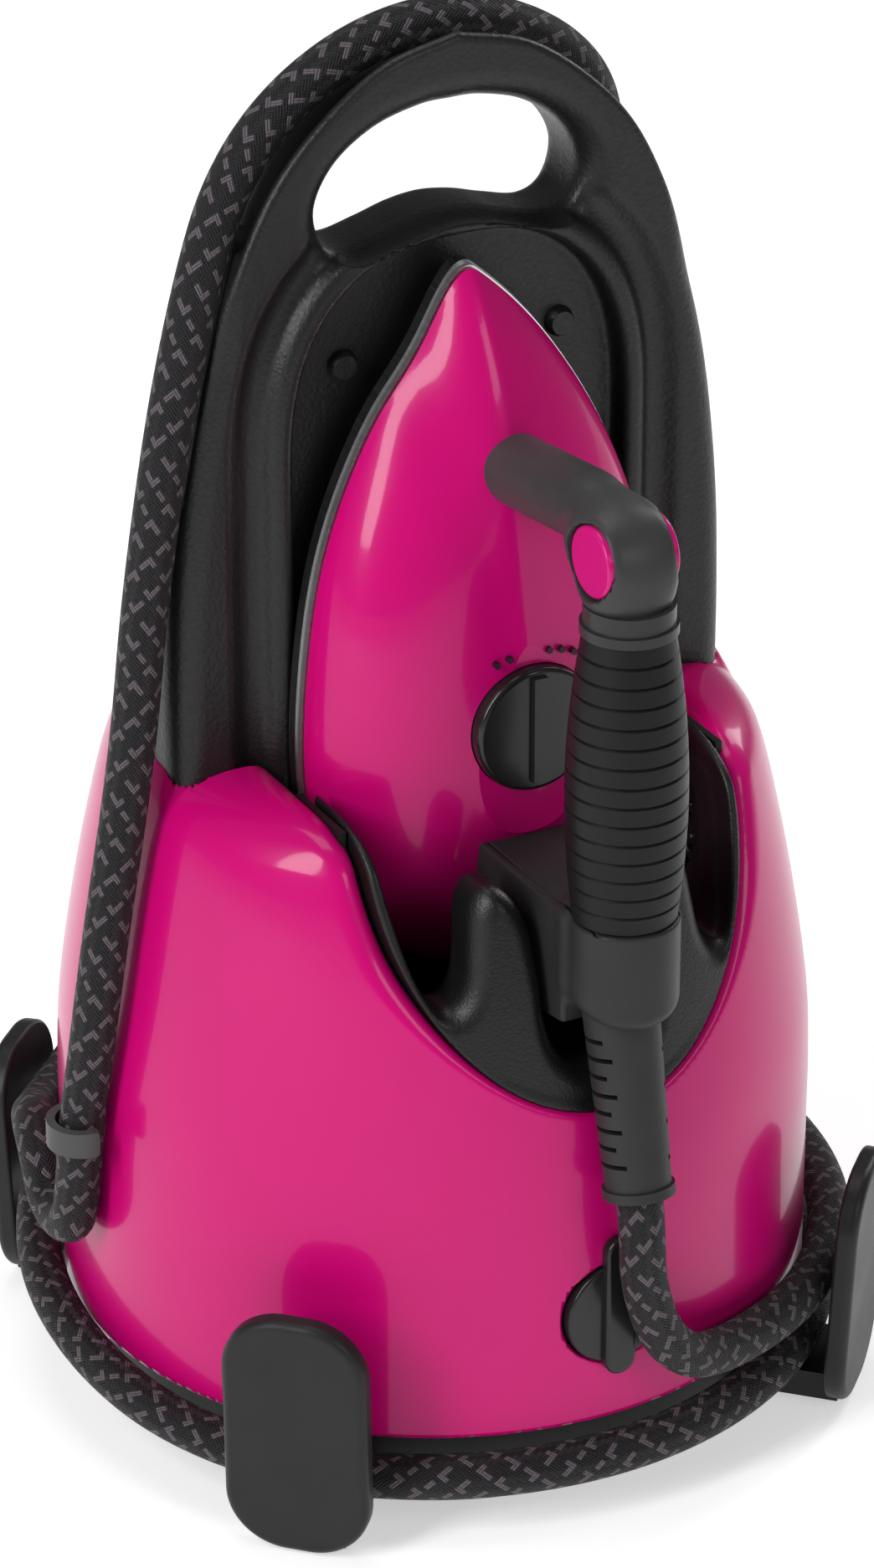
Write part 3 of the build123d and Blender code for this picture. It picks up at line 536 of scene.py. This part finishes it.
def slope(field, p, e):
    """Direction in which a distance field grows fastest, at some points."""
    x, y, z = p.T
    return np.stack([
        field(x + e, y, z) - field(x - e, y, z),
        field(x, y + e, z) - field(x, y - e, z),
        field(x, y, z + e) - field(x, y, z - e),
    ], axis=1) / (2 * e)


def sampled(field, grid):
    """The field's values on a grid, worked out a slab at a time."""
    f = np.empty(tuple(len(a) for a in grid), np.float32)
    for start in range(0, len(grid[0]), SLAB):
        part = grid[0][start:start + SLAB].reshape(-1, 1, 1)
        f[start:start + SLAB] = field(part, grid[1].reshape(1, -1, 1), grid[2].reshape(1, 1, -1))
    return f


def cell_points(f, grid, step):
    """A point in each grid cell that the surface passes through, and the number of each such cell."""
    inside = f < 0
    near, far = slice(0, -1), slice(1, None)
    count = sum(inside[tuple(far if c else near for c in corner)].astype(np.int8) for corner in CORNERS)
    mixed = (count > 0) & (count < 8)
    cells = np.argwhere(mixed)
    number = np.full(mixed.shape, -1, np.int64)
    number[mixed] = np.arange(len(cells))
    values = {c: f[cells[:, 0] + c[0], cells[:, 1] + c[1], cells[:, 2] + c[2]] for c in CORNERS}
    total, hits = np.zeros((len(cells), 3)), np.zeros(len(cells))
    for a in CORNERS:
        for axis in range(3):
            if a[axis]:
                continue
            b = tuple(1 if n == axis else c for n, c in enumerate(a))
            crossing = (values[a] < 0) != (values[b] < 0)
            gap = np.where(crossing, values[a] - values[b], 1.0)
            place = np.tile(np.array(a, float), (len(cells), 1))
            place[:, axis] = values[a] / gap
            total += place * crossing[:, None]
            hits += crossing
    return np.array([a[0] for a in grid]) + (cells + total / hits[:, None]) * step, number


def cell_faces(inside, number):
    """A four-sided face across each grid edge that the surface cuts, turned to face outwards."""
    quads = []
    for axis in range(3):
        u, v = (axis + 1) % 3, (axis + 2) % 3
        a, b = [slice(1, -1)] * 3, [slice(1, -1)] * 3
        a[axis], b[axis] = slice(0, -1), slice(1, None)
        first = inside[tuple(a)]
        at = np.argwhere(first != inside[tuple(b)])
        outward = first[tuple(at.T)]
        at[:, u] += 1
        at[:, v] += 1
        ring = []
        for du, dv in ((-1, -1), (0, -1), (0, 0), (-1, 0)):
            c = at.copy()
            c[:, u] += du
            c[:, v] += dv
            ring.append(number[c[:, 0], c[:, 1], c[:, 2]])
        ring = np.stack(ring, axis=1)
        ring[~outward] = ring[~outward][:, ::-1]
        quads.append(ring)
    return np.concatenate(quads)


def settled(field, p, quads, step):
    """The points drawn on to the surface, and evened out along it."""
    ends = np.concatenate([quads[:, [0, 1]], quads[:, [1, 2]], quads[:, [2, 3]], quads[:, [3, 0]]])
    meets = np.bincount(ends.ravel(), minlength=len(p))
    head, foot = ends.T
    for turn in range(RELAX_TURNS + 1):
        if turn:
            mean = np.stack([
                np.bincount(head, p[foot, n], len(p)) + np.bincount(foot, p[head, n], len(p))
                for n in range(3)
            ], axis=1) / np.maximum(meets, 1)[:, None]
            p = p + 0.6 * (mean - p)
        for _ in range(2):
            g = slope(field, p, 0.15)
            move = (field(*p.T) / np.maximum((g**2).sum(1), 0.2))[:, None] * g
            length = np.linalg.norm(move, axis=1)[:, None]
            p = p - move * np.minimum(1, 0.8 * step / np.maximum(length, 1e-9))
    return p


def quad_mesh(name, p, quads, normals):
    """A smooth mesh of four-sided faces, with its own normals, from points in millimetres."""
    mesh = bpy.data.meshes.new(name)
    mesh.vertices.add(len(p))
    mesh.vertices.foreach_set("co", (p * MM).ravel())
    mesh.loops.add(4 * len(quads))
    mesh.loops.foreach_set("vertex_index", quads.ravel())
    mesh.polygons.add(len(quads))
    mesh.polygons.foreach_set("loop_start", np.arange(0, 4 * len(quads), 4))
    mesh.polygons.foreach_set("loop_total", np.full(len(quads), 4))
    mesh.update(calc_edges=True)
    mesh.validate()
    mesh.polygons.foreach_set("use_smooth", [True] * len(mesh.polygons))
    if len(mesh.vertices) == len(normals):
        mesh.normals_split_custom_set_from_vertices(normals.tolist())
    return mesh


def solid(name, field, low, high, step, slot, body, nodes, soft):
    """A piece on the zero surface of a field, inside a box; soft is how far its shading is smoothed."""
    grid = [np.arange(a - 1.5 * step, b + 2.5 * step, step) for a, b in zip(low, high)]
    f = sampled(field, grid)
    p, number = cell_points(f, grid, step)
    quads = cell_faces(f < 0, number)
    p = settled(field, p, quads, step)
    normals = slope(field, p, soft)
    normals /= np.maximum(np.linalg.norm(normals, axis=1), 1e-6)[:, None]
    obj = new_object(name, quad_mesh(name, p, quads, normals))
    obj.data.materials.append(MATERIAL[slot])
    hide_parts(*nodes)
    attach(obj, body)


# ------------------------------------------------------------------ body
# A glossy bell, rolled over into the iron's mouth, open at the frame's slot and the tank's bay.
BELL_R, BELL_TOP, BELL_FOOT = 114, 248, 30
BELL = [
    (BELL_R, 60), (BELL_R, 80), (BELL_R, 100), (112.9, 122), (108.9, 150), (103.6, 178), (97.4, 203),
    (89.5, 220), (77, 235), (58, 244), (32, 247.6), (0, BELL_TOP),
]
SHELL_WALL = 3.0
SHOULDER, SHOULDER_ROUND = 216.6, 13.0
MOUTH_HALF, MOUTH_DROP, MOUTH_MIDDLE, MOUTH_BACK = 60, 75, 207, 16.4
SLOT_X, SLOT_Y, SLOT_CORNER = 90.2, 15.2, 8.4
BAY_X, BAY_Y, BAY_FLOOR = 60.6, 27.9, 85
KNOB_Z, KNOB_HOLE = 66, 17.0
POWER_PORT = (20, 140, 10.2)
MAINS_PORT = (70, 68, 8.0)
GLAND_X, GLAND_Y, GLAND_HOLE = 77, 27, 7.3

bell_rim = [(-30, BELL_TOP), (-30, -60), (BELL_R, -60)]
bell_outline = Outline(np.concatenate([through(BELL, 12), bell_rim]), 10.0)
half_mouth = [
    (MOUTH_HALF * sin(a), MOUTH_MIDDLE - MOUTH_DROP * cos(a)) for a in np.linspace(0, pi / 2, 30)
]
mouth_outline = Outline(mirrored([*half_mouth, (MOUTH_HALF, 300)]), 30.0)


def front_cap(y):
    """Height that the shoulder is levelled off to in front of the frame; behind it the bell is whole."""
    return SHOULDER + 60 * smooth_step(y, -16, 14)


def capped_bell(x, y, z):
    """The bell's outer form, with its front levelled off."""
    return rmax(bell_outline(np.hypot(x, y), z), z - front_cap(y), SHOULDER_ROUND)


def mouth_roll(z):
    """How far the skin rolls over into the mouth, which is more towards the top."""
    return 2.2 + 8.0 * smooth_step(z, 136, 185)


def side_port(x, y, z, angle, height, radius):
    """A round hole through the side; angle counts from +X towards +Y."""
    across = -x * sin(radians(angle)) + y * cos(radians(angle))
    out = x * cos(radians(angle)) + y * sin(radians(angle))
    return np.maximum(np.hypot(across, z - height) - radius, 80 - out)


def shell_field(x, y, z):
    """The pink skin, with each of its openings."""
    outer = capped_bell(x, y, z)
    mouth = mouth_outline(x, z)
    pocket = np.maximum(mouth, y + MOUTH_BACK)
    roll = mouth_roll(z)
    body = rmax(outer, -pocket, roll)
    wall = np.maximum(body, -(body + SHELL_WALL))
    lining = np.maximum(np.maximum(outer + 7.0 + roll, mouth - 3.4), y + 12)
    wall = np.maximum(wall, -lining)
    slot = rmax(np.abs(x) - SLOT_X, np.abs(y) - SLOT_Y, SLOT_CORNER)
    wall = np.maximum(wall, -slot)
    bay = np.maximum(np.maximum(np.abs(x) - BAY_X, BAY_Y - y), BAY_FLOOR - z)
    wall = rmax(wall, -bay, 0.8)
    knob = np.maximum(np.hypot(x, z - KNOB_Z) - KNOB_HOLE, y + 80)
    wall = rmax(wall, -knob, 0.6)
    for port in (POWER_PORT, MAINS_PORT):
        wall = rmax(wall, -side_port(x, y, z, *port), 0.5)
    gland = np.maximum(np.hypot(x - GLAND_X, y - GLAND_Y) - GLAND_HOLE, 190 - z)
    wall = rmax(wall, -gland, 0.5)
    return rmax(wall, BELL_FOOT - z, 0.8)


solid(
    "shell_body", shell_field, (-BELL_R, -BELL_R, BELL_FOOT), (BELL_R, BELL_R, BELL_TOP), 1.5, "shell_pink",
    "station", ("outer_shell", "shell_bridge"), soft=0.8,
)

# ------------------------------------------------------------------ dock
# The mouth's black liner, and its front wall with a notch for the iron's heel and a scoop on each side.
NOTCH = [
    (0, 145.5), (5, 145.7), (10, 147.2), (14.5, 151.5), (17.0, 160), (17.8, 175), (19.5, 189), (24, 198),
    (30, 200.5), (34.6, 195), (36.4, 184), (38, 174), (41.5, 167.3), (46, 166.2), (49.8, 170.5),
    (52.6, 178.5), (55, 190), (56.8, 205), (57.4, 230), (57.4, 300),
]
FRONT_WALL, FRONT_REACH = 19.0, 40
LINER_BACK, LINER_WALL = 19.2, 2.3
DOT_PITCH, DOT_R = 4.0, 1.25
PANEL_Y, PANEL_Z, PANEL_HALF_Y, PANEL_HALF_Z = 48, 192, 13.5, 17.5
notch_outline = Outline(mirrored(through(NOTCH, 6)), 20.0)


def perforations(y, z):
    """Rows of small holes through each side wall of the dock."""
    half = DOT_PITCH / 2
    hole_y = np.mod(y + half, DOT_PITCH) - half
    hole_z = np.mod(z + half, DOT_PITCH) - half
    panel = np.maximum(np.abs(y + PANEL_Y) - PANEL_HALF_Y, np.abs(z - PANEL_Z) - PANEL_HALF_Z)
    return np.maximum(np.hypot(hole_y, hole_z) - DOT_R, panel)


def cradle_field(x, y, z):
    """The liner and the front wall, joined with a soft inner corner."""
    outer = capped_bell(x, y, z)
    mouth = mouth_outline(x, z)
    liner = rmax(rmax(mouth + 0.1, -(mouth + LINER_WALL), 0.9), outer + mouth_roll(z) + 0.4, 1.2)
    liner = np.maximum(liner, y + LINER_BACK)
    liner = np.maximum(liner, -perforations(y, z))
    front = rmax(outer + 1.3, -(outer + FRONT_WALL), 6.0)
    front = rmax(front, mouth + 0.2, 0.6)
    front = rmax(front, -notch_outline(x, z), 6.2 - 3.9 * smooth_step(np.abs(x), 43, 51))
    front = np.maximum(front, y + FRONT_REACH)
    return rmin(liner, front, 3.0)


solid(
    "mouth_cradle", cradle_field, (-66, -BELL_R, 128), (66, -18, 218), 0.95, "cradle_black", "station",
    ("iron_cradle",), soft=0.5,
)

# ------------------------------------------------------------------ carrying frame
# An upright arch with a gutter for the hose, a hand hole, and a ridge round the iron's place.
FRAME_FOOT, FRAME_HALF_X, FRAME_TOP, FRAME_HALF = 112, 91, 427, 16.0
FRAME = [
    (FRAME_HALF_X, FRAME_FOOT), (FRAME_HALF_X, 150), (FRAME_HALF_X, 200), (FRAME_HALF_X, 240), (89.5, 275),
    (85, 312), (78, 342), (69, 368), (58, 390), (43, 407), (23, 421), (0, FRAME_TOP),
]
HAND_HOLE = [
    (0, 373), (10, 371.8), (20, 369), (32, 366.5), (39.5, 370), (42, 381), (36, 392.5), (24, 401), (10, 405),
    (0, 405.5),
]
RIDGE_HALF, RIDGE_SPRING, RIDGE_TOP, RIDGE_POWER = 57, 305, 371, 2 / 2.5
RIDGE_RISE = RIDGE_TOP - RIDGE_SPRING
GUTTER_START, GUTTER_HALF, GUTTER_DEPTH = 372, 12.6, 10.5
SEAM_DEPTH = 0.55

frame_outline = Outline(mirrored(through(FRAME, 8)), 26.0)
past_left, past_right = (-10, 371.8), (-10, 405)
hole_half = through([past_left, *HAND_HOLE, past_right], 8)[8:-8]
hole_outline = Outline(mirrored(hole_half), 30.0)
ridge_half = [
    (RIDGE_HALF * abs(cos(a)) ** RIDGE_POWER, RIDGE_SPRING + RIDGE_RISE * abs(sin(a)) ** RIDGE_POWER)
    for a in np.linspace(0, pi / 2, 24)
]
ridge_outline = Outline(mirrored([(RIDGE_HALF, 120), *ridge_half[:-1], (0, RIDGE_TOP)]), 40.0)
hose_over_frame = wrap_line[wrap_line[:, 2] > 300][::4]


def frame_field(x, y, z):
    """The whole arch: its body, then each thing raised on it or cut into it."""
    edge = frame_outline(x, z)
    hole = hole_outline(x, z)
    ridge = ridge_outline(x, z)
    body = rmax(edge, np.abs(y) - FRAME_HALF, 9.0 - 6.6 * smooth_step(z, 335, 372))
    body = rmax(body, -hole, 10.0)
    valley = np.hypot(ridge - 9.5, y + 18.5) - 5.6
    body = rmax(body, -valley, 3.0)
    crest = np.maximum(np.hypot(ridge, y + 14.6) - 4.0, -hole + 2)
    body = rmin(body, crest, 2.4)
    recess = rmax(ridge + 3.4, y + 11.0, 2.4)
    body = rmax(body, -recess, 1.4)
    gutter = np.maximum(rmax(np.abs(y) - GUTTER_HALF, -(edge + GUTTER_DEPTH), 5.0), GUTTER_START - z)
    body = rmax(body, -gutter, 0.9)
    body = rmax(body, -along_hose(x, y, z, hose_over_frame, HOSE_R + 0.9), 0.8)
    parting = np.hypot(y, np.maximum(-edge, 0)) - SEAM_DEPTH
    body = np.maximum(body, -parting)
    return np.maximum(body, FRAME_FOOT - z)


solid(
    "carrying_frame", frame_field, (-FRAME_HALF_X, -19, FRAME_FOOT), (FRAME_HALF_X, 16, FRAME_TOP), 1.15,
    "frame_black", "station", ("frame_front", "frame_rear"), soft=0.5,
)

# ------------------------------------------------------------------ iron's elbow
# One smooth piece between the iron and its grip, fuller where the two steam buttons sit.
ELBOW_R, NECK_R, ELBOW_FOOT = 22, 10.5, 286.2
elbow_arc = [
    (0, -93.0 + ELBOW_R * cos(a), 292.05 + ELBOW_R * sin(a)) for a in np.linspace(radians(82.8), pi, 24)
]
elbow_line = np.array([(0, -44, 308), *elbow_arc, (0, -115, 280)])


def elbow_field(x, y, z):
    """A bent tube with a round boss across it, and a seat in each end of the boss for a button."""
    tube = along_hose(x, y, z, elbow_line, NECK_R)
    boss = rmax(np.hypot(y + 112.0, z - 307.0) - 11.9, np.abs(x) - 10.5, 3.6)
    body = rmin(tube, boss, 9.0)
    seat = np.maximum(np.hypot(y + 112.5, z - 307.5) - 10.9, 9.6 - np.abs(x))
    body = rmax(body, -seat, 0.3)
    return np.maximum(body, ELBOW_FOOT - z)


solid(
    "handle_elbow", elbow_field, (-12, -130, 286), (12, -44, 330), 0.8, "neck_grey", "iron",
    ("handle_neck",), soft=0.4,
)

# ------------------------------------------------------------------ iron's heel
# A wedge behind, and a round trunk that carries the grip's foot on to the strain relief.
HEEL_TOP, TRUNK_R = 197.9, 16.0


def heel_field(x, y, z):
    """Wedge and trunk, joined with a soft inner corner, with a parting line round the top."""
    wedge = rmax(np.abs(x) - 15.9, np.maximum(-y - 108, y + 46), 1.2)
    under = 153 + 0.16 * (-y - 46) - z
    wedge = rmax(wedge, np.maximum(z - HEEL_TOP, under), 0.9)
    trunk = rmax(np.hypot(x, y + 115) - TRUNK_R, z - HEEL_TOP, 0.8)
    foot = 0.218 * (y + 113.5) - 0.976 * (z - 169.5)
    trunk = rmax(trunk, foot, 6.0)
    body = rmin(wedge, trunk, 5.0)
    parting = np.maximum(np.abs(np.maximum(np.abs(x) - 13.2, -y - 150)) - 0.35, 197.2 - z)
    return np.maximum(body, -parting)


solid(
    "heel_moulding", heel_field, (-17, -132, 148), (17, -45, 198), 0.85, "block_black", "iron",
    ("heel_block",), soft=0.4,
)

# ------------------------------------------------------------------ the other pieces keep their form
for node, obj in frame["nodes"].items():
    if obj.hide_render:
        continue
    obj.data.materials.clear()
    obj.data.materials.append(MATERIAL[SLOT_OF[node]])

# ------------------------------------------------------------------ floor and light
FLOOR_HALF = 6
CORNER_SIGNS = ((-1, -1), (1, -1), (1, 1), (-1, 1))
WHITE = rgb(1, 1, 1)
floor_corners = [(x * FLOOR_HALF, y * FLOOR_HALF, 0) for x, y in CORNER_SIGNS]
floor = new_object("floor", build_mesh("floor", floor_corners, [(0, 1, 2, 3)], smooth=False))
paper = Nodes("studio_floor")
paper.set(Base_Color=rgb(0.86, 0.86, 0.86), Roughness=0.85)
paper.set(Emission_Color=WHITE, Emission_Strength=0.5)
floor.data.materials.append(paper.material)

world = bpy.data.worlds.new("studio")
bpy.context.scene.world = world
world.use_nodes = True
background = world.node_tree.nodes["Background"]
background.inputs["Color"].default_value = WHITE
background.inputs["Strength"].default_value = 0.16
bpy.context.scene.view_settings.view_transform = "Standard"


def softbox(name, place, target, size, power):
    """A rectangular light that points at a target, in metres and watts."""
    data = bpy.data.lights.new(name, "AREA")
    data.shape = "RECTANGLE"
    data.size, data.size_y = size
    data.energy = power
    light = bpy.data.objects.new(name, data)
    bpy.context.scene.collection.objects.link(light)
    light.location = place
    direction = Vector(target) - Vector(place)
    light.rotation_euler = direction.to_track_quat("-Z", "Y").to_euler()


softbox("key", (-1.7, -0.5, 1.3), (0, 0, 0.2), (0.5, 1.5), 28)
softbox("fill", (0.5, -1.9, 1.3), (0, 0, 0.2), (0.9, 0.7), 7)
softbox("edge", (1.5, 0.6, 1.2), (0, 0, 0.25), (0.4, 1.4), 10)
softbox("top", (0.0, 0.3, 2.0), (0, 0, 0.2), (1.0, 1.0), 9)
